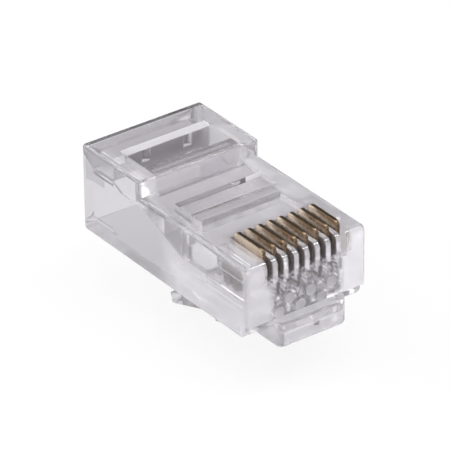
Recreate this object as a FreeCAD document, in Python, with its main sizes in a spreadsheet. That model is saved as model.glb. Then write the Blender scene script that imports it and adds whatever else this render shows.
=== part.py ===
import FreeCAD, Part
import os
import re

import Sketcher
from FreeCAD import Vector

# The plug in its own frame: the nose points along -Y, the contacts face +Z and the latch hangs below.
# y = 0 is the nose face, z = 0 the underside of the body, x = 0 the middle. All sizes are in millimetres.
doc = FreeCAD.newDocument("modular_plug")

# Driving dimensions
sheet = doc.addObject("Spreadsheet::Sheet", "Sizes")
SIZES = [
    # Moulded body
    ("body_width", 11.68),
    ("body_length", 22.04),
    ("low_top", 6.445),
    ("raised_top", 7.84),
    ("step_front", 14.04),
    ("undercut_height", 1.17),
    ("undercut_depth", 0.9),
    ("nose_radius", 0.6),
    ("corner_radius", 0.5),
    ("edge_radius", 0.3),
    # Cable cavity, from the rear mouth to the conductor trough
    ("cavity_width", 9.2),
    ("cavity_floor", 0.8),
    ("cavity_ceiling", 5.75),
    ("cavity_radius", 0.7),
    ("mouth_width", 10.6),
    ("mouth_floor", 0.45),
    ("mouth_ceiling", 6.9),
    ("mouth_depth", 0.85),
    ("funnel_back", 17.3),
    ("funnel_ceiling", 5.2),
    ("trough_width", 8.4),
    ("trough_floor", 0.86),
    ("trough_ceiling", 3.02),
    ("trough_back", 9.47),
    ("trough_front", 6.2),
    # Conductor channels, in two staggered rows
    ("contact_count", 8),
    ("contact_pitch", 1.02),
    ("channel_radius", 0.5),
    ("channel_front", 0.35),
    ("upper_row", 2.41),
    ("lower_row", 1.45),
    ("guide_radius", 0.36),
    ("guide_rise", 0.3),
    ("guide_overlap", 0.3),
    # Contact slots
    ("comb_slot_width", 0.56),
    ("comb_slot_floor", 4.35),
    ("comb_slot_back", 4.85),
    # Contacts
    ("blade_thickness", 0.33),
    ("blade_front", 0.75),
    ("blade_back", 4.4),
    ("blade_top", 7.2),
    ("blade_shoulder", 4.3),
    ("blade_corner_radius", 0.5),
    ("back_corner_radius", 0.45),
    ("prong_setback", 0.05),
    ("prong_back", 4.1),
    ("prong_gap", 0.32),
    ("prong_count", 3),
    ("upper_tip", 3.05),
    ("lower_tip", 2.65),
    ("tip_height", 0.35),
    # Window and jacket clamp in the raised section
    ("window_width", 8.3),
    ("window_back", 18.5),
    ("window_chamfer", 0.7),
    ("window_chamfer_drop", 0.26),
    ("clamp_front", 14.3),
    ("clamp_back", 15.6),
    ("clamp_knuckle_radius", 0.55),
    ("clamp_knuckle_height", 5.72),
    ("clamp_side_gap", 0.05),
    ("clamp_edge_radius", 0.12),
    ("notch_radius", 0.42),
    ("notch_height", 1.1),
    ("notch_spacing", 4.1),
    # Conductor clamp in the low section
    ("pocket_width", 8.36),
    ("pocket_front", 9.5),
    ("pocket_back", 11.7),
    ("pocket_depth", 0.44),
    ("press_gap", 0.04),
    ("foot_width", 7.5),
    ("foot_front", 8.85),
    ("foot_top", 5.76),
    ("relief_gap", 0.35),
    # Latch root below the nose, and the latch lever
    ("root_width", 6.68),
    ("root_front", 0.86),
    ("root_drop", 1.16),
    ("root_radius", 0.7),
    ("gate_offset", 0.27),
    ("gate_radius", 0.32),
    ("gate_depth", 0.12),
    ("hinge_back", 2.7),
    ("hinge_drop", 0.72),
    ("hinge_gap", 0.03),
    ("lever_thickness", 0.92),
    ("lever_length", 14.2),
    ("lever_slope", 18.3),
    ("lever_width", 3.25),
    ("shoulder_width", 6.02),
    ("shoulder_back", 8.36),
    ("lever_radius", 0.3),
]
for row, (name, value) in enumerate(SIZES, start=1):
    sheet.set(f"A{row}", name)
    sheet.set(f"B{row}", str(value))
    sheet.setAlias(f"B{row}", name)
doc.recompute()
NAMES = {name for name, value in SIZES}
# Tools that open a face run past it by this much.
PAST = 1.0
# Places nearer than this are one place.
TOUCH = 1e-4
# An edge runs along an axis when this share of its direction does.
ALONG = 0.9


def formula(text):
    """The sheet expression for a formula that is written with the names of the sizes."""

    def cell(word):
        return "Sizes." + word.group() if word.group() in NAMES else word.group()

    return re.sub(r"[a-z_]+", cell, text)


def value(text):
    """The number that a formula gives now."""
    return float(sheet.evalExpression(formula(text)))


def bind(item, prop, text):
    item.setExpression(prop, formula(text))


def place(item, x, y, z):
    bind(item, "Placement.Base.x", x)
    bind(item, "Placement.Base.y", y)
    bind(item, "Placement.Base.z", z)


def block(name, x_span, y_span, z_span):
    """A box between pairs of formulas, one pair along each axis."""
    item = doc.addObject("Part::Box", name)
    for prop, (low, high) in zip(("Length", "Width", "Height"), (x_span, y_span, z_span)):
        bind(item, prop, f"({high}) - ({low})")
    place(item, x_span[0], y_span[0], z_span[0])
    return item


def rod_along_y(name, x, z, radius, front, back):
    item = doc.addObject("Part::Cylinder", name)
    bind(item, "Radius", radius)
    bind(item, "Height", f"({back}) - ({front})")
    item.Placement.Rotation = FreeCAD.Rotation(Vector(1, 0, 0), -90)
    place(item, x, front, z)
    return item


def rod_along_x(name, y, z, radius, width):
    """A rod that lies across the plug, centred on x = 0."""
    item = doc.addObject("Part::Cylinder", name)
    bind(item, "Radius", radius)
    bind(item, "Height", width)
    item.Placement.Rotation = FreeCAD.Rotation(Vector(0, 1, 0), 90)
    place(item, f"-({width}) / 2", y, z)
    return item


def funnel(name, front, back, front_width, back_width, front_span, back_span):
    """A frustum with rectangular ends, between the planes y = front and y = back."""
    item = doc.addObject("Part::Wedge", name)
    ends = {
        "Ymin": front,
        "Ymax": back,
        "Xmin": f"-({front_width}) / 2",
        "Xmax": f"({front_width}) / 2",
        "Zmin": front_span[0],
        "Zmax": front_span[1],
        "X2min": f"-({back_width}) / 2",
        "X2max": f"({back_width}) / 2",
        "Z2min": back_span[0],
        "Z2max": back_span[1],
    }
    # The far end is set first as numbers, so that no step of the binding has a reversed span.
    for prop in ("Ymax", "Xmax", "Zmax", "X2max", "Z2max"):
        setattr(item, prop, value(ends[prop]))
    for prop, text in ends.items():
        bind(item, prop, text)
    return item


def outline(body, name, role, corners):
    """A closed sketch on one of the body's own planes. Each corner is a pair of formulas."""
    sketch = body.newObject("Sketcher::SketchObject", name)
    plane = [item for item in body.Origin.OriginFeatures if item.Role == role][0]
    sketch.AttachmentSupport = [(plane, "")]
    sketch.MapMode = "FlatFace"
    count = len(corners)
    points = [Vector(value(across), value(up), 0) for across, up in corners]
    for n in range(count):
        sketch.addGeometry(Part.LineSegment(points[n], points[(n + 1) % count]), False)
    for n in range(count):
        sketch.addConstraint(Sketcher.Constraint("Coincident", n, 2, (n + 1) % count, 1))
    for n, (across, up) in enumerate(corners):
        for kind, text in (("DistanceX", across), ("DistanceY", up)):
            index = sketch.addConstraint(Sketcher.Constraint(kind, -1, 1, n, 1, value(text)))
            sketch.setExpression(f"Constraints[{index}]", formula(text))
    return sketch


def side_profile(name, corners, width):
    """A body whose side profile, in y and z, is padded both ways from x = 0."""
    body = doc.addObject("PartDesign::Body", name)
    sketch = outline(body, name + "_profile", "YZ_Plane", corners)
    pad = body.newObject("PartDesign::Pad", name + "_pad")
    pad.Profile = sketch
    pad.Midplane = True
    bind(pad, "Length", width)
    body.Tip = pad
    return body


def join(name, parts):
    item = doc.addObject("Part::MultiFuse", name)
    item.Shapes = parts
    item.Refine = True
    return item


def cut(name, base, tools):
    item = doc.addObject("Part::Cut", name)
    item.Base = base
    item.Tool = join(name + "_tools", tools) if len(tools) > 1 else tools[0]
    item.Refine = True
    return item


def round_edges(name, base, radius, chosen):
    """Fillets the edges of base for which chosen(middle, direction) is true."""
    doc.recompute()
    picked = []
    for number, edge in enumerate(base.Shape.Edges, start=1):
        middle = edge.valueAt((edge.FirstParameter + edge.LastParameter) / 2)
        along = edge.tangentAt((edge.FirstParameter + edge.LastParameter) / 2)
        if chosen(middle, along):
            picked.append((number, value(radius), value(radius)))
    item = doc.addObject("Part::Fillet", name)
    item.Base = base
    item.Edges = picked
    return item


def near(a, text):
    return abs(a - value(text)) < TOUCH


def runs(share):
    return abs(share) > ALONG


def column(n):
    """Where contact n lies across the plug. Contact 1 is at the +X side."""
    return f"((contact_count + 1) / 2 - {n}) * contact_pitch"


def row_of(n):
    """Odd contacts pierce the lower row of conductors, even ones the upper row."""
    return "lower_row" if n % 2 else "upper_row"


# Outer form of the moulded body: a low front part, a raised rear part and an undercut below the nose
body_form = side_profile(
    "body_form",
    [
        ("0", "undercut_height"),
        ("0", "low_top"),
        ("step_front", "low_top"),
        ("step_front", "raised_top"),
        ("body_length", "raised_top"),
        ("body_length", "0"),
        ("undercut_depth", "0"),
        ("undercut_depth", "undercut_height"),
    ],
    "body_width",
)


def is_nose_edge(middle, along):
    return runs(along.x) and near(middle.y, "0") and near(middle.z, "low_top")


def is_nose_corner(middle, along):
    return runs(along.z) and near(middle.y, "0")


def is_outer_edge(middle, along):
    """The long edges of the two sides, the edges of the step and the rear edges."""
    at_side = near(abs(middle.x), "body_width / 2")
    at_rear = near(middle.y, "body_length")
    at_step = near(middle.y, "step_front") and near(middle.z, "raised_top")
    on_top = middle.z > value("low_top") - TOUCH
    lengthwise = runs(along.y) and at_side and (on_top or near(middle.z, "0"))
    upright = runs(along.z) and at_side and (at_rear or middle.z > value("low_top"))
    return lengthwise or upright or ((at_rear or at_step) and runs(along.x))


nose_rounded = round_edges("nose_rounded", body_form, "nose_radius", is_nose_edge)
corners_rounded = round_edges("corners_rounded", nose_rounded, "corner_radius", is_nose_corner)
body_rounded = round_edges("body_rounded", corners_rounded, "edge_radius", is_outer_edge)

# Latch root: a block that stands out below the nose and carries the latch at its rear face
root_form = block(
    "root_form",
    ("-root_width / 2", "root_width / 2"),
    ("-root_front", "hinge_back"),
    ("-root_drop", "undercut_height"),
)


def is_root_corner(middle, along):
    return runs(along.z) and near(middle.y, "-root_front")


def is_root_bottom(middle, along):
    at_bottom = near(middle.z, "-root_drop")
    at_front = middle.y < value("-root_front + root_radius + edge_radius")
    return at_bottom and (at_front or runs(along.y))


root_corners = round_edges("root_corners", root_form, "root_radius", is_root_corner)
root_rounded = round_edges("root_rounded", root_corners, "edge_radius", is_root_bottom)
outer_form = join("outer_form", [body_rounded, root_rounded])

# Cable cavity: a flared mouth, a chamber for the jacket, a funnel and a trough for the loose conductors
mouth = funnel(
    "mouth",
    "body_length - mouth_depth",
    "body_length",
    "cavity_width",
    "mouth_width",
    ("cavity_floor", "cavity_ceiling"),
    ("mouth_floor", "mouth_ceiling"),
)
rear_chamber = block(
    "rear_chamber",
    ("-cavity_width / 2", "cavity_width / 2"),
    ("window_back", "body_length - mouth_depth"),
    ("cavity_floor", "cavity_ceiling"),
)
window_chamber = funnel(
    "window_chamber",
    "funnel_back",
    "window_back",
    "cavity_width",
    "cavity_width",
    ("cavity_floor", "funnel_ceiling"),
    ("cavity_floor", "cavity_ceiling"),
)
upper_funnel = funnel(
    "upper_funnel",
    "clamp_front",
    "funnel_back",
    "cavity_width",
    "cavity_width",
    ("cavity_floor", "funnel_ceiling"),
    ("cavity_floor", "funnel_ceiling"),
)
lower_funnel = funnel(
    "lower_funnel",
    "trough_back",
    "clamp_front",
    "trough_width",
    "cavity_width",
    ("trough_floor", "trough_ceiling"),
    ("cavity_floor", "funnel_ceiling"),
)
trough = block(
    "trough",
    ("-trough_width / 2", "trough_width / 2"),
    ("trough_front", "trough_back"),
    ("trough_floor", "trough_ceiling"),
)


def is_cavity_corner(middle, along):
    """The four long edges of a chamber, which lean outwards in the mouth."""
    return abs(along.y) > TOUCH


mouth_rounded = round_edges("mouth_rounded", mouth, "cavity_radius", is_cavity_corner)
chamber_rounded = round_edges("chamber_rounded", rear_chamber, "cavity_radius", is_cavity_corner)
cavity = join("cavity", [mouth_rounded, chamber_rounded, window_chamber, upper_funnel, lower_funnel, trough])

# Window over the jacket clamp, with a sloping rear edge, and the seat of the clamp's hinge knuckle
window = block(
    "window",
    ("-window_width / 2", "window_width / 2"),
    ("clamp_front - clamp_side_gap", "window_back"),
    ("(cavity_floor + cavity_ceiling) / 2", f"raised_top + {PAST}"),
)
window_edge = side_profile(
    "window_edge",
    [
        ("window_back", "raised_top - window_chamfer_drop"),
        ("window_back + window_chamfer", "raised_top"),
        ("window_back + window_chamfer", f"raised_top + {PAST}"),
        ("clamp_back", f"raised_top + {PAST}"),
        ("clamp_back", "raised_top - window_chamfer_drop"),
    ],
    "window_width",
)
knuckle_seat = rod_along_x(
    "knuckle_seat",
    "clamp_front",
    "clamp_knuckle_height",
    "clamp_knuckle_radius + hinge_gap",
    "window_width",
)

# Two half-round notches in the rear wall of the window
notches = []
for side, sign in (("left", -1), ("right", 1)):
    notch = doc.addObject("Part::Cylinder", f"notch_{side}")
    bind(notch, "Radius", "notch_radius")
    bind(notch, "Height", "notch_height")
    notch_low = "raised_top - window_chamfer_drop - notch_height"
    place(notch, f"{sign} * notch_spacing / 2", "window_back", notch_low)
    notches.append(notch)

# Pocket over the conductor clamp, which runs through the roof down to the funnel
pocket = block(
    "pocket",
    ("-pocket_width / 2", "pocket_width / 2"),
    ("pocket_front", "pocket_back"),
    ("trough_ceiling - press_gap", f"low_top + {PAST}"),
)

# Relief slot, which leaves room in front of the clamp's foot
relief_slot = block(
    "relief_slot",
    ("-foot_width / 2 - press_gap", "foot_width / 2 + press_gap"),
    ("foot_front - relief_gap", "(pocket_front + pocket_back) / 2"),
    ("trough_ceiling - press_gap", "foot_top + press_gap"),
)

# Seat of the latch's hinge knuckle in the rear face of the root, and the round gate mark on its front face
latch_seat = rod_along_x(
    "latch_seat",
    "hinge_back",
    "-hinge_drop",
    "lever_thickness / 2 + hinge_gap",
    f"root_width + 2 * {PAST}",
)
gate_mark = rod_along_y(
    "gate_mark",
    "gate_offset",
    "(undercut_height - root_drop) / 2",
    "gate_radius",
    f"-root_front - {PAST}",
    "gate_depth - root_front",
)

# Comb of eight slots over the contacts, each with a narrow slot for its blade, a conductor channel
# and a small ridged guide above the channel
front_tools = []
CONTACT_COUNT = int(value("contact_count"))
for n in range(1, CONTACT_COUNT + 1):
    middle = column(n)
    comb_slot = block(
        f"comb_slot_{n}",
        (f"{middle} - comb_slot_width / 2", f"{middle} + comb_slot_width / 2"),
        (f"-{PAST}", "comb_slot_back"),
        ("comb_slot_floor", f"low_top + {PAST}"),
    )
    blade_slot = block(
        f"blade_slot_{n}",
        (
            f"{middle} - blade_thickness / 2 - press_gap / 2",
            f"{middle} + blade_thickness / 2 + press_gap / 2",
        ),
        ("blade_front - press_gap", "blade_back + press_gap"),
        (row_of(n), "(comb_slot_floor + low_top) / 2"),
    )
    channel = rod_along_y(
        f"channel_{n}",
        middle,
        row_of(n),
        "channel_radius",
        "channel_front",
        "(trough_front + trough_back) / 2",
    )
    guide = doc.addObject("Part::Prism", f"guide_{n}")
    guide.Polygon = 3
    bind(guide, "Circumradius", "guide_radius")
    bind(guide, "Height", "blade_front - press_gap + guide_overlap - channel_front")
    facing = FreeCAD.Rotation(Vector(1, 0, 0), -90)
    guide.Placement.Rotation = facing * FreeCAD.Rotation(Vector(0, 0, 1), -90)
    place(guide, middle, "channel_front", f"{row_of(n)} + channel_radius + guide_rise + guide_radius / 2")
    front_tools += [comb_slot, blade_slot, channel, guide]

rear_tools = [cavity, window, window_edge, knuckle_seat, pocket, relief_slot, latch_seat, gate_mark]
housing = cut("housing", outer_form, rear_tools + notches + front_tools)
housing.Label = "housing"

# Jacket clamp: a bar across the raised section that hinges on a knuckle at its lower front edge.
# Its top lies level with the rails.
clamp_bar = block(
    "clamp_bar",
    ("-window_width / 2 + clamp_side_gap", "window_width / 2 - clamp_side_gap"),
    ("clamp_front", "clamp_back"),
    ("funnel_ceiling", "raised_top"),
)
clamp_knuckle = rod_along_x(
    "clamp_knuckle",
    "clamp_front",
    "clamp_knuckle_height",
    "clamp_knuckle_radius",
    "window_width - 2 * clamp_side_gap",
)
clamp_form = join("clamp_form", [clamp_bar, clamp_knuckle])


def is_clamp_top(middle, along):
    return near(middle.z, "raised_top") and (near(middle.y, "clamp_front") or near(middle.y, "clamp_back"))


jacket_clamp = round_edges("jacket_clamp", clamp_form, "clamp_edge_radius", is_clamp_top)
jacket_clamp.Label = "jacket_clamp"

FUNNEL_SLOPE = "(funnel_ceiling - trough_ceiling) / (clamp_front - trough_back)"

# Conductor clamp: a bar in the low section, pressed straight down on the conductors.
# Its underside follows the slope of the funnel, and its foot reaches forward under the roof of the nose.
clamp_body = side_profile(
    "clamp_body",
    [
        ("pocket_front + press_gap", "low_top - pocket_depth"),
        ("pocket_back - press_gap", "low_top - pocket_depth"),
        ("pocket_back - press_gap", f"trough_ceiling + (pocket_back - trough_back) * {FUNNEL_SLOPE}"),
        ("pocket_front + press_gap", "trough_ceiling"),
    ],
    "pocket_width - 2 * press_gap",
)
clamp_foot = block(
    "clamp_foot",
    ("-foot_width / 2", "foot_width / 2"),
    ("foot_front", "pocket_front + press_gap"),
    ("trough_ceiling", "foot_top"),
)
conductor_clamp = join("conductor_clamp", [clamp_body, clamp_foot])
conductor_clamp.Label = "conductor_clamp"

# Latch: a springy lever with a knuckle at the root, wide shoulders that lock in the jack and a thumb end.
# It is drawn flat along +Y from its hinge, then turned down by its slope.
latch_tab = doc.addObject("PartDesign::Body", "latch_tab")
latch_tab.Label = "latch_tab"
lever_plan = outline(
    latch_tab,
    "lever_plan",
    "XY_Plane",
    [
        ("-shoulder_width / 2", "0"),
        ("-shoulder_width / 2", "(shoulder_back - hinge_back) / cos(lever_slope)"),
        ("-lever_width / 2", "(shoulder_back - hinge_back) / cos(lever_slope)"),
        ("-lever_width / 2", "lever_length"),
        ("lever_width / 2", "lever_length"),
        ("lever_width / 2", "(shoulder_back - hinge_back) / cos(lever_slope)"),
        ("shoulder_width / 2", "(shoulder_back - hinge_back) / cos(lever_slope)"),
        ("shoulder_width / 2", "0"),
    ],
)
lever_pad = latch_tab.newObject("PartDesign::Pad", "lever_pad")
lever_pad.Profile = lever_plan
lever_pad.Midplane = True
bind(lever_pad, "Length", "lever_thickness")
knuckle_sketch = latch_tab.newObject("Sketcher::SketchObject", "knuckle_sketch")
side_plane = [item for item in latch_tab.Origin.OriginFeatures if item.Role == "YZ_Plane"][0]
knuckle_sketch.AttachmentSupport = [(side_plane, "")]
knuckle_sketch.MapMode = "FlatFace"
knuckle_sketch.addGeometry(Part.Circle(Vector(0, 0, 0), Vector(0, 0, 1), value("lever_thickness / 2")), False)
knuckle_sketch.addConstraint(Sketcher.Constraint("Coincident", 0, 3, -1, 1))
knuckle_size = knuckle_sketch.addConstraint(Sketcher.Constraint("Radius", 0, value("lever_thickness / 2")))
knuckle_sketch.setExpression(f"Constraints[{knuckle_size}]", formula("lever_thickness / 2"))
knuckle_pad = latch_tab.newObject("PartDesign::Pad", "knuckle_pad")
knuckle_pad.Profile = knuckle_sketch
knuckle_pad.Midplane = True
bind(knuckle_pad, "Length", "shoulder_width")
latch_tab.Tip = knuckle_pad
doc.recompute()
tip_edges = []
for number, edge in enumerate(knuckle_pad.Shape.Edges, start=1):
    middle = edge.valueAt((edge.FirstParameter + edge.LastParameter) / 2)
    along = edge.tangentAt((edge.FirstParameter + edge.LastParameter) / 2)
    if near(middle.y, "lever_length") or (runs(along.z) and middle.y > TOUCH):
        tip_edges.append(f"Edge{number}")
tip_rounding = latch_tab.newObject("PartDesign::Fillet", "tip_rounding")
tip_rounding.Base = (knuckle_pad, tip_edges)
bind(tip_rounding, "Radius", "lever_radius")
latch_tab.Tip = tip_rounding
latch_tab.Placement.Rotation = FreeCAD.Rotation(Vector(-1, 0, 0), value("lever_slope"))
bind(latch_tab, "Placement.Rotation.Angle", "lever_slope * 1 deg")
bind(latch_tab, "Placement.Base.y", "hinge_back")
bind(latch_tab, "Placement.Base.z", "-hinge_drop")

# Contacts: flat stamped blades that stand proud of the comb until they are crimped down.
# Each has three pointed prongs, and the ones over the lower row of conductors are longer.
def is_front_corner(middle, along):
    return runs(along.x) and near(middle.y, "blade_front") and near(middle.z, "blade_top")


def is_back_corner(middle, along):
    return runs(along.x) and near(middle.y, "blade_back") and near(middle.z, "blade_top")


contacts = []
for n in range(1, CONTACT_COUNT + 1):
    tip = "lower_tip" if n % 2 else "upper_tip"
    prong_front = "blade_front + prong_setback"
    prong_width = f"((prong_back - ({prong_front}) - (prong_count - 1) * prong_gap) / prong_count)"
    corners = [("blade_front", "blade_top"), ("blade_back", "blade_top"), ("blade_back", "blade_shoulder")]
    # The prongs are walked from the rear to the front, so that the outline stays in one direction.
    for k in range(int(value("prong_count")) - 1, -1, -1):
        start = f"{prong_front} + {k} * ({prong_width} + prong_gap)"
        corners += [
            (f"{start} + {prong_width}", "blade_shoulder"),
            (f"{start} + {prong_width}", f"{tip} + tip_height"),
            (f"{start} + {prong_width} / 2", tip),
            (start, f"{tip} + tip_height"),
            (start, "blade_shoulder"),
        ]
    corners.append(("blade_front", "blade_shoulder"))
    contact = side_profile(f"contact_{n}_body", corners, "blade_thickness")
    bind(contact, "Placement.Base.x", column(n))
    front_rounded = round_edges(f"contact_{n}_front", contact, "blade_corner_radius", is_front_corner)
    rounded = round_edges(f"contact_{n}", front_rounded, "back_corner_radius", is_back_corner)
    rounded.Label = f"contact_{n}"
    contacts.append(rounded)

doc.recompute()

# Every object is checked before any file is written
for item in doc.Objects:
    if "Invalid" in item.State or "Error" in item.State:
        raise RuntimeError(f"{item.Name} did not compute: {item.State}")
pieces = [housing, latch_tab, jacket_clamp, conductor_clamp] + contacts
for piece in pieces:
    if piece.Shape.isNull() or not piece.Shape.isValid() or len(piece.Shape.Solids) != 1:
        raise RuntimeError(f"{piece.Label} is not one valid solid")
os.makedirs("parts", exist_ok=True)
for piece in pieces:
    piece.Shape.exportStep(f"parts/{piece.Label}.step")
    print(piece.Label, round(piece.Shape.Volume, 3), "mm3")
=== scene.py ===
import math

import bpy
from mathutils import Matrix, Vector


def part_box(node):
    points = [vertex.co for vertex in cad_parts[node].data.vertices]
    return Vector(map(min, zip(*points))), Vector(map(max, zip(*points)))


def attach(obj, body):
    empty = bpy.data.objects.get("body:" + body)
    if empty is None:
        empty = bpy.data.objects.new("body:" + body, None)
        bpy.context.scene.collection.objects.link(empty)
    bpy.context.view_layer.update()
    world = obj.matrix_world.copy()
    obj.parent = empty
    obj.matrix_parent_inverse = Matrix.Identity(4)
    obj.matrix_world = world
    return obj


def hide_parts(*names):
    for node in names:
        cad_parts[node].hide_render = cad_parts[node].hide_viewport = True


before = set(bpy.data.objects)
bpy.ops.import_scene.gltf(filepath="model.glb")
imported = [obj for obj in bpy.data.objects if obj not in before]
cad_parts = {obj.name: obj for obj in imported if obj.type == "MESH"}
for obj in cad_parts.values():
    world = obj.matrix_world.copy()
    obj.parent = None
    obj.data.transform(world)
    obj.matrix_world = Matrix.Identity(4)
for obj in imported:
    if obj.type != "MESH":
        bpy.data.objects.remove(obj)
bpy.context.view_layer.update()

MM = 0.001


# Housing: the moulded body with the comb, the conductor channels and the cable cavity in one piece.
# It is clear polycarbonate, polished where it met the outer mould, and dull where it met the thin steel
# cores that left its channels and slots. It has a faint lilac-grey cast, and it carries every other piece.
POLYCARBONATE_TINT = (0.896, 0.878, 0.908, 1.0)
POLYCARBONATE_IOR = 1.585
OUTER_CLEARNESS = 0.88
OUTER_POLISH = (0.0, 0.04)
HAZE_SPACING = 0.7 * MM
HAZE_DETAIL = 3.0
HAZE_RANGE = (0.35, 0.75)
SINK_SPACING = 2.6 * MM
SINK_DETAIL = 1.0
SINK_DEPTH = 0.006 * MM
SPOT_SPACING = 0.30 * MM
SPOT_DETAIL = 3.0
SPOT_RANGE = (0.35, 0.60)
SPOT_STRENGTH = (0.35, 1.0)
SIDEWAYS_LIMIT = 0.6
SHARP_EDGE = 0.001
UNTONED = (1.0, 1.0, 1.0)


def skin(low, high, clearness, roughness, tone=UNTONED, spotted=False, sides_left_out=False, fade=SHARP_EDGE):
    """The faces inside a box, given by two corners in millimetres, and how the tool left them. The tone
    darkens the colour there, some of it painted shade and painted reflection. The skin comes in over the
    fade, in millimetres, from each side of the box."""
    return {
        "low": low,
        "high": high,
        "fade": fade,
        "clearness": clearness,
        "roughness": roughness,
        "tone": tone,
        "spotted": spotted,
        "sides_left_out": sides_left_out,
    }


# The front half of the body, where the polish is a little duller
LOW_TOP = skin((-7.0, -1.2, 5.4), (7.0, 8.9, 7.6), clearness=0.78, roughness=0.03, fade=0.9)
FRONT_SIDE = skin((-8.4, -3.0, -3.0), (-3.3, 11.5, 4.6), clearness=0.64, roughness=0.08, fade=2.5)
NOSE_NEAR = skin((-7.0, -0.8, -1.5), (-2.9, 0.8, 8.0), clearness=0.70, roughness=0.06, fade=0.78)
NOSE_FAR = skin((2.9, -0.8, -1.5), (7.0, 0.8, 8.0), clearness=0.60, roughness=0.06, fade=0.78)
ROOT_FRONT = skin((-3.4, -0.90, -1.2), (3.4, -0.82, 0.2), clearness=0.72, roughness=0.22)

# The cable cavity, the comb, the channels and the relief slot, shaped by steel cores
CAVITY_SKIN = skin((-5.35, 0.2, 0.3), (5.35, 22.0, 5.95), clearness=0.92, roughness=0.05)
BLADE_SLOTS = skin((-4.2, 0.9, 2.5), (4.2, 4.9, 4.6), clearness=0.97, roughness=0.0)
CHANNEL_ENDS = skin((-4.2, 0.30, 0.85), (4.2, 0.40, 3.0), clearness=0.50, roughness=0.12)
NOSE_WINDOW = skin((-4.3, -0.05, 0.9), (4.3, 0.05, 4.35), clearness=0.96, roughness=0.0)
# The comb's slot walls are tinted brown: a painted reflection of the gold blades.
SLOT_SIDES_GOLD_REFLECTION = skin(
    (-4.4, -0.6, 4.6), (4.4, 5.6, 7.0), clearness=0.92, roughness=0.03, tone=(0.97, 0.92, 0.88), fade=0.6
)
RIB_FRONTS = skin(
    (-3.87, -0.1, 4.36), (3.87, 4.9, 6.5), clearness=0.80, roughness=0.12, tone=(0.99, 0.99, 0.99),
    sides_left_out=True,
)
# The wall of the relief slot is darkened in patches: painted shade inside the slot.
RELIEF_WALL_SHADE = skin(
    (-3.9, 8.4, 4.45), (3.9, 8.6, 5.79), clearness=0.12, roughness=0.40, tone=(0.18, 0.17, 0.175),
    spotted=True,
)
FOOT_ROOF = skin((-3.9, 8.62, 5.77), (3.9, 9.48, 5.84), clearness=0.10, roughness=0.30)

# The pocket of the conductor clamp, with painted shade on its rear wall and a painted shadow along its front
# wall, in the narrow gap by the clamp
POCKET_REAR_SHADE = skin(
    (-4.3, 11.6, 5.95), (1.35, 11.8, 6.44), clearness=0.62, roughness=0.25, tone=(0.60, 0.58, 0.60)
)
# A darker spot on the pocket's rear wall, also painted shade.
POCKET_SHADE_SPOT = skin(
    (2.2, 11.6, 5.95), (2.75, 11.8, 6.44), clearness=0.50, roughness=0.25, tone=(0.16, 0.14, 0.15)
)
POCKET_SHINE = skin((2.75, 11.6, 5.95), (4.3, 11.8, 6.44), clearness=0.35, roughness=0.40)
# A dark line along the pocket's front wall: a painted shadow in the gap by the clamp.
GAP_SHADOW_LINE = skin((-4.1, 9.4, 6.05), (0.6, 9.6, 6.44), clearness=0.35, roughness=0.40, tone=(0.14, 0.09, 0.08))

# The raised section: the corner of the step, the window and the flared mouth
STEP_CORNER = skin((-5.9, 13.9, 6.40), (-4.1, 14.1, 7.9), clearness=0.80, roughness=0.25)
# The window's rear wall is darkened: painted shade.
WINDOW_REAR_SHADE = skin(
    (-4.5, 18.4, 5.9), (4.5, 18.6, 7.58), clearness=0.75, roughness=0.30, tone=(0.68, 0.66, 0.68)
)
WINDOW_LEDGE = skin((-4.6, 18.52, 7.5), (4.6, 19.3, 7.83), clearness=0.50, roughness=0.30)
# The roof inside the flared mouth is darkened: painted shade in the hollow.
MOUTH_ROOF_SHADE = skin(
    (-5.4, 19.6, 4.6), (5.4, 21.9, 7.2), clearness=0.85, roughness=0.12, tone=(0.60, 0.58, 0.60)
)
# A dark band along the rear top edge: a painted dark reflection.
REAR_RIM_DARK_REFLECTION = skin(
    (-5.6, 21.4, 7.75), (5.6, 21.95, 7.9), clearness=0.80, roughness=0.10, tone=(0.22, 0.21, 0.22)
)

# A later skin covers an earlier one
BODY_SKINS = [
    LOW_TOP, FRONT_SIDE, CAVITY_SKIN, BLADE_SLOTS, CHANNEL_ENDS, NOSE_WINDOW, NOSE_NEAR, NOSE_FAR,
    ROOT_FRONT, SLOT_SIDES_GOLD_REFLECTION, RIB_FRONTS, RELIEF_WALL_SHADE, FOOT_ROOF, POCKET_REAR_SHADE, POCKET_SHADE_SPOT, POCKET_SHINE,
    GAP_SHADOW_LINE, STEP_CORNER, WINDOW_REAR_SHADE, WINDOW_LEDGE, MOUTH_ROOF_SHADE, REAR_RIM_DARK_REFLECTION,
]


def new_finish(name):
    """A new material, with its node tree and its surface."""
    material = bpy.data.materials.new(name)
    material.use_nodes = True
    return material, material.node_tree, material.node_tree.nodes["Principled BSDF"]


def put(tree, value, target):
    """Sets a socket to a number or a colour, or joins the output of another node to it."""
    if isinstance(value, (int, float, tuple)):
        target.default_value = value
    else:
        tree.links.new(value, target)


def maths(tree, operation, *values):
    node = tree.nodes.new("ShaderNodeMath")
    node.operation = operation
    for value, target in zip(values, node.inputs):
        put(tree, value, target)
    return node.outputs[0]


def vector_maths(tree, operation, result, *values):
    """The result is the output to read: Vector, or Value for a distance or a dot product."""
    node = tree.nodes.new("ShaderNodeVectorMath")
    node.operation = operation
    for value, target in zip(values, node.inputs):
        put(tree, value, target)
    return node.outputs[result]


def x_y_z(tree, vector):
    node = tree.nodes.new("ShaderNodeSeparateXYZ")
    tree.links.new(vector, node.inputs[0])
    return node.outputs


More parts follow.
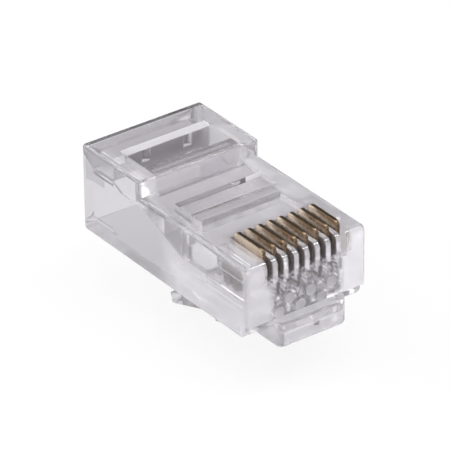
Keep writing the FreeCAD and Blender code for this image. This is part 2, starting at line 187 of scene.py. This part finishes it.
def stretched(tree, value, given, wanted=(0.0, 1.0), soft=False):
    """The value, stretched from the given range to the wanted one and held inside it."""
    node = tree.nodes.new("ShaderNodeMapRange")
    if soft:
        node.interpolation_type = "SMOOTHSTEP"
    node.inputs["From Min"].default_value = given[0]
    node.inputs["From Max"].default_value = given[1]
    node.inputs["To Min"].default_value = wanted[0]
    node.inputs["To Max"].default_value = wanted[1]
    tree.links.new(value, node.inputs["Value"])
    return node.outputs["Result"]


def on_piece(tree):
    """The place of a point on the piece."""
    return tree.nodes.new("ShaderNodeTexCoord").outputs["Object"]


def mapped(tree, place, shift=(0.0, 0.0, 0.0), scale=(1.0, 1.0, 1.0)):
    """The place, shifted and scaled for a pattern."""
    mapping = tree.nodes.new("ShaderNodeMapping")
    mapping.inputs["Location"].default_value = shift
    mapping.inputs["Scale"].default_value = scale
    tree.links.new(place, mapping.inputs["Vector"])
    return mapping.outputs["Vector"]


def patches(tree, place, spacing, detail):
    """Soft irregular patches, this far apart."""
    noise = tree.nodes.new("ShaderNodeTexNoise")
    noise.inputs["Scale"].default_value = 1 / spacing
    noise.inputs["Detail"].default_value = detail
    tree.links.new(place, noise.inputs["Vector"])
    return noise.outputs["Fac"]


def value_blend(tree, mask, base, value):
    """The value where the mask is 1, and the base elsewhere."""
    mix = tree.nodes.new("ShaderNodeMix")
    tree.links.new(mask, mix.inputs["Factor"])
    put(tree, base, mix.inputs["A"])
    put(tree, value, mix.inputs["B"])
    return mix.outputs["Result"]


def colour_blend(tree, mask, base, colour):
    """The colour where the mask is 1, and the base elsewhere."""
    mix = tree.nodes.new("ShaderNodeMix")
    mix.data_type = "RGBA"
    colour_in = [socket for socket in mix.inputs if socket.type == "RGBA"]
    colour_out = [socket for socket in mix.outputs if socket.type == "RGBA"]
    tree.links.new(mask, mix.inputs["Factor"])
    put(tree, base, colour_in[0])
    put(tree, colour, colour_in[1])
    return colour_out[0]


def roughen(tree, surface, height, depth):
    """Lifts the surface by a pattern, this much at most."""
    relief = tree.nodes.new("ShaderNodeBump")
    relief.inputs["Distance"].default_value = depth
    tree.links.new(height, relief.inputs["Height"])
    tree.links.new(relief.outputs["Normal"], surface.inputs["Normal"])


def skin_mask(tree, place, face):
    """1 well inside the skin's box, and 0 outside it."""
    middle = tuple((a + b) / 2 * MM for a, b in zip(face["low"], face["high"]))
    reach = tuple((b - a) / 2 * MM for a, b in zip(face["low"], face["high"]))
    offset = vector_maths(tree, "SUBTRACT", "Vector", place, middle)
    distance = vector_maths(tree, "ABSOLUTE", "Vector", offset)
    beyond = x_y_z(tree, vector_maths(tree, "SUBTRACT", "Vector", distance, reach))
    farthest = maths(tree, "MAXIMUM", maths(tree, "MAXIMUM", beyond["X"], beyond["Y"]), beyond["Z"])
    return stretched(tree, farthest, (0.0, -face["fade"] * MM))


def not_sideways(tree, mask):
    """The mask without the faces that look along x."""
    facing = x_y_z(tree, tree.nodes.new("ShaderNodeNewGeometry").outputs["True Normal"])
    other = maths(tree, "LESS_THAN", maths(tree, "ABSOLUTE", facing["X"]), SIDEWAYS_LIMIT)
    return maths(tree, "MULTIPLY", mask, other)


def in_spots(tree, place, mask):
    """The mask, fading in and out in small patches."""
    spots = patches(tree, place, SPOT_SPACING, SPOT_DETAIL)
    return maths(tree, "MULTIPLY", mask, stretched(tree, spots, SPOT_RANGE, SPOT_STRENGTH))


def moulded_clear(name, skins, drift):
    """Clear moulded plastic. Its polish varies in soft patches, its faces sink and swell a little, and it
    has duller skins where the tool left them. Some skins darken the colour with painted shade and painted
    reflections. The drift, in millimetres, gives each piece its own patches."""
    material, tree, plastic = new_finish(name)
    place = on_piece(tree)
    drifted = mapped(tree, place, shift=(drift * MM, 0.0, 0.0))
    roughness = stretched(tree, patches(tree, drifted, HAZE_SPACING, HAZE_DETAIL), HAZE_RANGE, OUTER_POLISH)
    clearness = OUTER_CLEARNESS
    colour = POLYCARBONATE_TINT
    for face in skins:
        mask = skin_mask(tree, place, face)
        if face["sides_left_out"]:
            mask = not_sideways(tree, mask)
        roughness = value_blend(tree, mask, roughness, face["roughness"])
        if face["spotted"]:
            mask = in_spots(tree, place, mask)
        clearness = value_blend(tree, mask, clearness, face["clearness"])
        if face["tone"] != UNTONED:
            toned = tuple(a * b for a, b in zip(POLYCARBONATE_TINT, (*face["tone"], 1.0)))
            colour = colour_blend(tree, mask, colour, toned)
    plastic.inputs["IOR"].default_value = POLYCARBONATE_IOR
    put(tree, roughness, plastic.inputs["Roughness"])
    put(tree, clearness, plastic.inputs["Transmission Weight"])
    put(tree, colour, plastic.inputs["Base Color"])
    roughen(tree, plastic, patches(tree, drifted, SINK_SPACING, SINK_DETAIL), SINK_DEPTH)
    return material


def dress(node, material):
    """Gives a carried-over solid its finish."""
    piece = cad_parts[node]
    piece.data.materials.clear()
    piece.data.materials.append(material)


dress("housing", moulded_clear("polycarbonate_body", BODY_SKINS, drift=0.0))

# Latch: the springy lever below the body, with two shoulders that catch in the jack.
# It comes out of the same shot of polycarbonate.
dress("latch_tab", moulded_clear("polycarbonate_latch", [], drift=31.0))

# Jacket clamp: the bar across the raised section, which bends down on the cable's jacket. The mould's outer
# half polished its top and a core shaped its underside; a darker band on the top is painted shade, with a
# pale frosted line.
CLAMP_UNDERSIDE = skin((-5.0, 13.0, 4.5), (5.0, 16.5, 6.2), clearness=0.90, roughness=0.08)
# Painted shade in a band across the top of the clamp.
CLAMP_BAND_SHADE = skin(
    (-4.2, 14.4, 7.75), (4.2, 15.5, 7.9), clearness=0.85, roughness=0.10, tone=(0.55, 0.53, 0.55)
)
CLAMP_LINE = skin((-4.0, 14.72, 7.75), (3.5, 15.06, 7.9), clearness=0.50, roughness=0.40)
JACKET_CLAMP_SKINS = [CLAMP_UNDERSIDE, CLAMP_BAND_SHADE, CLAMP_LINE]
dress("jacket_clamp", moulded_clear("polycarbonate_jacket_clamp", JACKET_CLAMP_SKINS, drift=57.0))

# Conductor clamp: the bar in the low section, which is pressed straight down on the conductors. Its top
# has the fine eroded grain of the pin that shaped the pocket.
CLAMP_CORE_SKIN = skin((-5.0, 8.0, 2.8), (5.0, 12.0, 5.9), clearness=0.92, roughness=0.06)
POCKET_FLOOR = skin(
    (-5.0, 9.7, 5.9), (5.0, 12.0, 6.2), clearness=0.60, roughness=0.45, tone=(0.86, 0.84, 0.86), spotted=True
)
FOOT_TOP = skin((-3.8, 8.8, 5.7), (3.8, 9.6, 5.8), clearness=0.55, roughness=0.30)
CONDUCTOR_CLAMP_SKINS = [CLAMP_CORE_SKIN, POCKET_FLOOR, FOOT_TOP]
dress("conductor_clamp", moulded_clear("polycarbonate_conductor_clamp", CONDUCTOR_CLAMP_SKINS, drift=83.0))

# Contacts: eight blades punched from a thin strip of copper alloy, with gold plated over nickel. They stand
# in the slots of the comb, and their three prongs pierce the conductors when the plug is crimped. The
# strip's rolling lines run along their broad faces, and the punch leaves a sheared outline.
GOLD_PALE = (0.76, 0.65, 0.52, 1.0)
GOLD_DEEP = (0.56, 0.45, 0.345, 1.0)
# Below PLATED_FROM the blades are bare alloy, made dark and reaching up into the comb's slots as painted
# shade.
BARE_ALLOY_AND_SHADE = (0.13, 0.093, 0.072, 1.0)
PLATED_FROM = 5.5 * MM
PLATED_FADE = 0.9 * MM
ROLLING_SPACING = 0.09 * MM
ROLLING_LENGTH = 2.4 * MM
ROLLING_DETAIL = 4.0
ROLLING_DEPTH = 0.0012 * MM
RUB_SPACING = 0.9 * MM
RUB_DETAIL = 2.0
RUB_SHARE = 0.5
COLOUR_RANGE = (0.36, 0.60)
POLISH_RANGE = (0.35, 0.65)
PLATING_POLISH = (0.16, 0.42)
# The sheared outline is a darker gold, a painted dark reflection, and darker still on the bare prongs.
SHEARED_GOLD_DARK_REFLECTION = (0.24, 0.17, 0.115, 1.0)
BARE_SHEAR_AND_DARK_REFLECTION = (0.07, 0.047, 0.036, 1.0)
SHEAR_SPACING = 0.05 * MM
SHEAR_STRETCH = 0.3
SHEAR_DETAIL = 2.0
SHEAR_DEPTH = 0.003 * MM
SHEAR_POLISH = 0.16


def plated_above(tree, plated, bare):
    """The plated colour on the upper part of a blade, and the dark bare colour below it, which reaches up
    into the comb's slots as painted shade.
    """
    height = x_y_z(tree, on_piece(tree))["Z"]
    mask = stretched(tree, height, (PLATED_FROM, PLATED_FROM + PLATED_FADE))
    return colour_blend(tree, mask, bare, plated)


def plated_gold(name):
    """Rolled strip with its plating: fine lines along the blade, paler and duller where it was rubbed."""
    material, tree, metal = new_finish(name)
    place = on_piece(tree)
    drawn = mapped(tree, place, scale=(1 / ROLLING_LENGTH, 1 / ROLLING_LENGTH, 1 / ROLLING_SPACING))
    lines = patches(tree, drawn, spacing=1.0, detail=ROLLING_DETAIL)
    rub = patches(tree, place, RUB_SPACING, RUB_DETAIL)
    worn = maths(tree, "MULTIPLY_ADD", rub, RUB_SHARE, maths(tree, "MULTIPLY", lines, 1 - RUB_SHARE))
    shades = tree.nodes.new("ShaderNodeValToRGB")
    deep, pale = shades.color_ramp.elements
    deep.position, pale.position = COLOUR_RANGE
    deep.color = GOLD_DEEP
    pale.color = GOLD_PALE
    tree.links.new(worn, shades.inputs["Fac"])
    metal.inputs["Metallic"].default_value = 1.0
    put(tree, plated_above(tree, shades.outputs["Color"], BARE_ALLOY_AND_SHADE), metal.inputs["Base Color"])
    put(tree, stretched(tree, worn, POLISH_RANGE, PLATING_POLISH), metal.inputs["Roughness"])
    roughen(tree, metal, lines, ROLLING_DEPTH)
    return material


def sheared_edge(name):
    """The punched outline, with fine marks across the strip's thickness and a darker gold that paints the
    dark reflection on its edges.
    """
    material, tree, metal = new_finish(name)
    metal.inputs["Metallic"].default_value = 1.0
    metal.inputs["Roughness"].default_value = SHEAR_POLISH
    put(tree, plated_above(tree, SHEARED_GOLD_DARK_REFLECTION, BARE_SHEAR_AND_DARK_REFLECTION), metal.inputs["Base Color"])
    fineness = (SHEAR_STRETCH / SHEAR_SPACING, 1 / SHEAR_SPACING, 1 / SHEAR_SPACING)
    across = mapped(tree, on_piece(tree), scale=fineness)
    roughen(tree, metal, patches(tree, across, spacing=1.0, detail=SHEAR_DETAIL), SHEAR_DEPTH)
    return material


# Sizes of the blades in millimetres; their outer sizes come from the boxes of the solids
CONTACT_COUNT = 8
BLADE_SHOULDER = 4.3
BLADE_FRONT_RADIUS = 0.5
BLADE_BACK_RADIUS = 0.45
BLADE_CORNER_STEPS = 10
PRONG_SETBACK = 0.05
PRONG_BACK = 4.1
PRONG_GAP = 0.32
PRONG_COUNT = 3
PRONG_TIP_HEIGHT = 0.35
PRONG_ROOT = 0.3
PRONG_STATIONS = 3
WELD_DISTANCE = 0.001
SAME_PLACE = 0.01

# Two corners are the same when their numbers differ by less than this, and a face belongs to the outline
# when less of its normal than this looks along x
SAME_CORNER = 0.1
OUTLINE_LIMIT = 0.5

# The rubbed edge of a finished blade, in metres
BLADE_EDGE_WEAR = 0.02 * MM
BLADE_EDGE_STEPS = 2
EDGE_ANGLE = math.radians(35)


def blade_tree():
    """One blade: a plate with rounded upper corners, joined to a row of pointed prongs. Sizes are in
    millimetres."""
    tree = bpy.data.node_groups.new("punched_blade", "GeometryNodeTree")
    sizes = [
        "Place", "Thickness", "Front", "Back", "Top", "Shoulder", "Front Radius", "Back Radius",
        "Prong Front", "Prong Width", "Prong Gap", "Tip", "Tip Height",
    ]
    for size in sizes:
        tree.interface.new_socket(size, in_out="INPUT", socket_type="NodeSocketFloat")
    tree.interface.new_socket("Prong Count", in_out="INPUT", socket_type="NodeSocketInt")
    tree.interface.new_socket("Plating", in_out="INPUT", socket_type="NodeSocketMaterial")
    tree.interface.new_socket("Sheared Edge", in_out="INPUT", socket_type="NodeSocketMaterial")
    tree.interface.new_socket("Geometry", in_out="OUTPUT", socket_type="NodeSocketGeometry")
    nodes, links = tree.nodes, tree.links
    given = nodes.new("NodeGroupInput").outputs

    def point(x, y, z=0.0):
        node = nodes.new("ShaderNodeCombineXYZ")
        for value, target in zip((x, y, z), node.inputs):
            put(tree, value, target)
        return node.outputs[0]

    # Plate: its outline is drawn with y to the right and z up, and pushed out by the strip's thickness
    outline = nodes.new("GeometryNodeCurvePrimitiveQuadrilateral")
    outline.mode = "POINTS"
    corners = [("Front", "Shoulder"), ("Back", "Shoulder"), ("Back", "Top"), ("Front", "Top")]
    for number, (across, up) in enumerate(corners, start=1):
        links.new(point(given[across], given[up]), outline.inputs[f"Point {number}"])
    corner = nodes.new("GeometryNodeInputIndex").outputs[0]
    at_back = maths(tree, "COMPARE", corner, float(corners.index(("Back", "Top"))), SAME_CORNER)
    at_front = maths(tree, "COMPARE", corner, float(corners.index(("Front", "Top"))), SAME_CORNER)
    back_radius = maths(tree, "MULTIPLY", at_back, given["Back Radius"])
    fillet = nodes.new("GeometryNodeFilletCurve")
    fillet.mode = "POLY"
    fillet.inputs["Count"].default_value = BLADE_CORNER_STEPS
    links.new(outline.outputs["Curve"], fillet.inputs["Curve"])
    radius = maths(tree, "MULTIPLY_ADD", at_front, given["Front Radius"], back_radius)
    links.new(radius, fillet.inputs["Radius"])
    face = nodes.new("GeometryNodeFillCurve")
    face.mode = "NGONS"
    links.new(fillet.outputs["Curve"], face.inputs["Curve"])
    pushed = nodes.new("GeometryNodeExtrudeMesh")
    pushed.inputs["Individual"].default_value = False
    links.new(face.outputs["Mesh"], pushed.inputs["Mesh"])
    links.new(point(0.0, 0.0, 1.0), pushed.inputs["Offset"])
    links.new(given["Thickness"], pushed.inputs["Offset Scale"])
    back_face = nodes.new("GeometryNodeFlipFaces")
    links.new(face.outputs["Mesh"], back_face.inputs["Mesh"])
    both = nodes.new("GeometryNodeJoinGeometry")
    links.new(pushed.outputs["Mesh"], both.inputs["Geometry"])
    links.new(back_face.outputs["Mesh"], both.inputs["Geometry"])
    plate = nodes.new("GeometryNodeMergeByDistance")
    plate.inputs["Distance"].default_value = WELD_DISTANCE
    links.new(both.outputs["Geometry"], plate.inputs["Geometry"])

    # Prong: a bar whose lower end is drawn down to a point, rooted a little way up inside the plate
    prong_top = maths(tree, "ADD", given["Shoulder"], PRONG_ROOT)
    length = maths(tree, "SUBTRACT", prong_top, maths(tree, "ADD", given["Tip"], given["Tip Height"]))
    bar = nodes.new("GeometryNodeMeshCube")
    links.new(point(given["Prong Width"], length, given["Thickness"]), bar.inputs["Size"])
    bar.inputs["Vertices X"].default_value = PRONG_STATIONS
    spot = x_y_z(tree, nodes.new("GeometryNodeInputPosition").outputs[0])
    in_middle = maths(tree, "COMPARE", spot["X"], 0.0, SAME_PLACE)
    below = maths(tree, "LESS_THAN", spot["Y"], 0.0)
    pointed = nodes.new("GeometryNodeSetPosition")
    links.new(bar.outputs["Mesh"], pointed.inputs["Geometry"])
    links.new(maths(tree, "MULTIPLY", in_middle, below), pointed.inputs["Selection"])
    links.new(point(0.0, maths(tree, "MULTIPLY", given["Tip Height"], -1.0)), pointed.inputs["Offset"])
    row = nodes.new("GeometryNodeMeshLine")
    links.new(given["Prong Count"], row.inputs["Count"])
    first = maths(tree, "MULTIPLY_ADD", given["Prong Width"], 0.5, given["Prong Front"])
    middle = maths(tree, "SUBTRACT", prong_top, maths(tree, "MULTIPLY", length, 0.5))
    half_thickness = maths(tree, "MULTIPLY", given["Thickness"], 0.5)
    links.new(point(first, middle, half_thickness), row.inputs["Start Location"])
    links.new(point(maths(tree, "ADD", given["Prong Width"], given["Prong Gap"]), 0.0), row.inputs["Offset"])
    prongs = nodes.new("GeometryNodeInstanceOnPoints")
    links.new(row.outputs["Mesh"], prongs.inputs["Points"])
    links.new(pointed.outputs["Geometry"], prongs.inputs["Instance"])
    blade = nodes.new("GeometryNodeMeshBoolean")
    blade.operation = "UNION"
    blade.solver = "EXACT"
    links.new(plate.outputs["Geometry"], blade.inputs["Mesh 2"])
    prong_meshes = nodes.new("GeometryNodeRealizeInstances")
    links.new(prongs.outputs["Instances"], prong_meshes.inputs["Geometry"])
    links.new(prong_meshes.outputs["Geometry"], blade.inputs["Mesh 2"])

    # The blade is stood up in its slot, in metres
    stood = nodes.new("GeometryNodeTransform")
    links.new(blade.outputs["Mesh"], stood.inputs["Geometry"])
    left_face = maths(tree, "MULTIPLY_ADD", given["Thickness"], -0.5, given["Place"])
    links.new(point(maths(tree, "MULTIPLY", left_face, MM), 0.0), stood.inputs["Translation"])
    stood.inputs["Rotation"].default_value = (math.pi / 2, 0.0, math.pi / 2)
    stood.inputs["Scale"].default_value = (MM, MM, MM)
    whole = nodes.new("GeometryNodeRealizeInstances")
    links.new(stood.outputs["Geometry"], whole.inputs["Geometry"])
    plated = nodes.new("GeometryNodeSetMaterial")
    links.new(whole.outputs["Geometry"], plated.inputs["Geometry"])
    links.new(given["Plating"], plated.inputs["Material"])
    facing = x_y_z(tree, nodes.new("GeometryNodeInputNormal").outputs[0])
    on_outline = maths(tree, "LESS_THAN", maths(tree, "ABSOLUTE", facing["X"]), OUTLINE_LIMIT)
    sheared = nodes.new("GeometryNodeSetMaterial")
    links.new(plated.outputs["Geometry"], sheared.inputs["Geometry"])
    links.new(on_outline, sheared.inputs["Selection"])
    links.new(given["Sheared Edge"], sheared.inputs["Material"])
    links.new(sheared.outputs["Geometry"], nodes.new("NodeGroupOutput").inputs["Geometry"])
    return tree


punched_blade = blade_tree()
sockets = {item.name: item.identifier for item in punched_blade.interface.items_tree}
plating = plated_gold("gold_plating")
sheared_outline = sheared_edge("sheared_outline")
for n in range(1, CONTACT_COUNT + 1):
    low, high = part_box(f"contact_{n}")
    blade = bpy.data.objects.new(f"blade_{n}", bpy.data.meshes.new(f"blade_{n}"))
    bpy.context.scene.collection.objects.link(blade)
    punched = blade.modifiers.new("punched", "NODES")
    punched.node_group = punched_blade
    prong_front = low.y / MM + PRONG_SETBACK
    sizes = {
        "Place": (low.x + high.x) / 2 / MM,
        "Thickness": (high.x - low.x) / MM,
        "Front": low.y / MM,
        "Back": high.y / MM,
        "Top": high.z / MM,
        "Shoulder": BLADE_SHOULDER,
        "Front Radius": BLADE_FRONT_RADIUS,
        "Back Radius": BLADE_BACK_RADIUS,
        "Prong Front": prong_front,
        "Prong Width": (PRONG_BACK - prong_front - (PRONG_COUNT - 1) * PRONG_GAP) / PRONG_COUNT,
        "Prong Gap": PRONG_GAP,
        "Tip": low.z / MM,
        "Tip Height": PRONG_TIP_HEIGHT,
        "Prong Count": PRONG_COUNT,
        "Plating": plating,
        "Sheared Edge": sheared_outline,
    }
    for size, value in sizes.items():
        punched[sockets[size]] = value
    worn = blade.modifiers.new("worn", "BEVEL")
    worn.width = BLADE_EDGE_WEAR
    worn.segments = BLADE_EDGE_STEPS
    worn.limit_method = "ANGLE"
    worn.angle_limit = EDGE_ANGLE
    finished = bpy.data.meshes.new_from_object(blade.evaluated_get(bpy.context.evaluated_depsgraph_get()))
    blade.modifiers.clear()
    blade.data = finished
    finished.shade_smooth()
    finished.set_sharp_from_angle(angle=EDGE_ANGLE)
    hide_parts(f"contact_{n}")
    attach(blade, f"contact_{n}")

# Studio floor: plain white paper, level with the tip of the latch. The camera sees it white with a faint
# shadow. In the clear plastic and the gold it shows a painted pool of light, which gets darker away from the
# plug.
FLOOR_SIDE = 2.0
PAPER_WHITE = (0.86, 0.85, 0.88, 1.0)
PAPER_ROUGHNESS = 0.9
SHADOW_SHARE = 0.15
CLEAR_SHADOW_SHARE = 0.15
POOL_MIDDLE = (0.006, 0.012)
POOL_EDGE = (0.028, 0.063)
POOL_TONES = (0.64, 0.08)

floor_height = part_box("latch_tab")[0].z


def white_paper():
    """White to the camera, and a painted pool of light, a glow that fades with distance, to the rays that the
    plug bends or mirrors.
    """
    material, tree, paper = new_finish("studio_floor")
    paper.inputs["Base Color"].default_value = PAPER_WHITE
    paper.inputs["Roughness"].default_value = PAPER_ROUGHNESS
    paper.inputs["Specular IOR Level"].default_value = 0.0
    rays = tree.nodes.new("ShaderNodeLightPath").outputs
    away = vector_maths(tree, "DISTANCE", "Value", on_piece(tree), (*POOL_MIDDLE, floor_height))
    pool = stretched(tree, away, POOL_EDGE, POOL_TONES, soft=True)
    glow = tree.nodes.new("ShaderNodeEmission")
    put(tree, maths(tree, "MAXIMUM", pool, rays["Is Camera Ray"]), glow.inputs["Strength"])
    bent = maths(tree, "MAXIMUM", rays["Is Glossy Ray"], rays["Is Transmission Ray"])
    bent_share = maths(tree, "MULTIPLY", bent, 1 - CLEAR_SHADOW_SHARE)
    look = tree.nodes.new("ShaderNodeMixShader")
    share = maths(tree, "MULTIPLY_ADD", rays["Is Camera Ray"], 1 - SHADOW_SHARE, bent_share)
    put(tree, share, look.inputs["Fac"])
    put(tree, paper.outputs["BSDF"], look.inputs[1])
    put(tree, glow.outputs["Emission"], look.inputs[2])
    put(tree, look.outputs["Shader"], tree.nodes["Material Output"].inputs["Surface"])
    return material


floor_mesh = bpy.data.meshes.new("studio_floor")
half = FLOOR_SIDE / 2
corners = [(-half, -half), (half, -half), (half, half), (-half, half)]
floor_mesh.from_pydata([(x, y, floor_height) for x, y in corners], [], [(0, 1, 2, 3)])
floor = bpy.data.objects.new("studio_floor", floor_mesh)
bpy.context.scene.collection.objects.link(floor)
floor_mesh.materials.append(white_paper())

# Studio light: a pale room that is dim high up behind on the right, which gives the clear faces their grey.
# One wide soft lamp hangs overhead, one stands behind on the left and a long one low in front, and a small
# one in front on the right puts glints on the edges.
ROOM_PALE = 0.80
ROOM_DIM = 0.22
ROOM_COLOUR = (1.0, 1.0, 1.0, 1.0)
DIM_SIDE = (0.506, 0.70, 0.505)
DIM_EDGE = (0.35, 0.8)
LAMP_DISTANCE = 0.35

world = bpy.data.worlds.new("studio")
bpy.context.scene.world = world
world.use_nodes = True
room_tree = world.node_tree
room = room_tree.nodes["Background"]
way = room_tree.nodes.new("ShaderNodeTexCoord").outputs["Generated"]
toward = vector_maths(room_tree, "DOT_PRODUCT", "Value", way, DIM_SIDE)
shade = stretched(room_tree, toward, DIM_EDGE, (ROOM_PALE, ROOM_DIM), soft=True)
seen = room_tree.nodes.new("ShaderNodeLightPath").outputs["Is Camera Ray"]
put(room_tree, maths(room_tree, "MAXIMUM", shade, seen), room.inputs["Strength"])
room.inputs["Color"].default_value = ROOM_COLOUR


def soft_lamp(name, azimuth, elevation, width, height, watts):
    """A soft box that faces the plug. Azimuth 0 stands in front of the nose, and 90 on the +X side."""
    data = bpy.data.lights.new(name, "AREA")
    data.shape = "RECTANGLE"
    data.size = width
    data.size_y = height
    data.energy = watts
    lamp = bpy.data.objects.new(name, data)
    bpy.context.scene.collection.objects.link(lamp)
    a, e = math.radians(azimuth), math.radians(elevation)
    out = Vector((math.sin(a) * math.cos(e), -math.cos(a) * math.cos(e), math.sin(e)))
    turned = out.to_track_quat("Z", "Y").to_matrix().to_4x4()
    lamp.matrix_world = Matrix.Translation(out * LAMP_DISTANCE) @ turned


soft_lamp("overhead_lamp", azimuth=0.0, elevation=80.0, width=0.30, height=0.30, watts=0.5)
soft_lamp("left_rear_lamp", azimuth=-140.0, elevation=32.0, width=0.26, height=0.26, watts=0.45)
soft_lamp("right_front_lamp", azimuth=59.4, elevation=54.0, width=0.05, height=0.05, watts=0.12)
soft_lamp("front_lamp", azimuth=-30.0, elevation=10.0, width=0.36, height=0.14, watts=1.1)

# Camera: a long lens at the photograph's angle, with the nose to the front right. Light has to pass many
# clear walls, so it may bend and bounce more often than usual.
CAMERA_AIM = Vector((0.21, 11.039, 3.264)) * MM
CAMERA_DISTANCE = 355.5 * MM
CAMERA_AZIMUTH = math.radians(-35.9)
CAMERA_ELEVATION = math.radians(30.28)
CAMERA_ROLL = math.radians(-0.765)
CAMERA_LENS = 359.67
CAMERA_NEAR = 0.01
CAMERA_FAR = 10.0
CLEAR_BOUNCES = 32
GLOSSY_BOUNCES = 20
STRAIGHT_BOUNCES = 16

back = Vector(
    (
        math.sin(CAMERA_AZIMUTH) * math.cos(CAMERA_ELEVATION),
        -math.cos(CAMERA_AZIMUTH) * math.cos(CAMERA_ELEVATION),
        math.sin(CAMERA_ELEVATION),
    )
)
camera_data = bpy.data.cameras.new("camera")
camera_data.lens = CAMERA_LENS
camera_data.clip_start = CAMERA_NEAR
camera_data.clip_end = CAMERA_FAR
camera = bpy.data.objects.new("camera", camera_data)
bpy.context.scene.collection.objects.link(camera)
turn = back.to_track_quat("Z", "Y").to_matrix().to_4x4() @ Matrix.Rotation(CAMERA_ROLL, 4, "Z")
camera.matrix_world = Matrix.Translation(CAMERA_AIM + back * CAMERA_DISTANCE) @ turn
bpy.context.scene.camera = camera

bpy.context.scene.view_settings.view_transform = "Standard"
bpy.context.scene.cycles.max_bounces = CLEAR_BOUNCES
bpy.context.scene.cycles.glossy_bounces = GLOSSY_BOUNCES
bpy.context.scene.cycles.transmission_bounces = CLEAR_BOUNCES
bpy.context.scene.cycles.transparent_max_bounces = STRAIGHT_BOUNCES
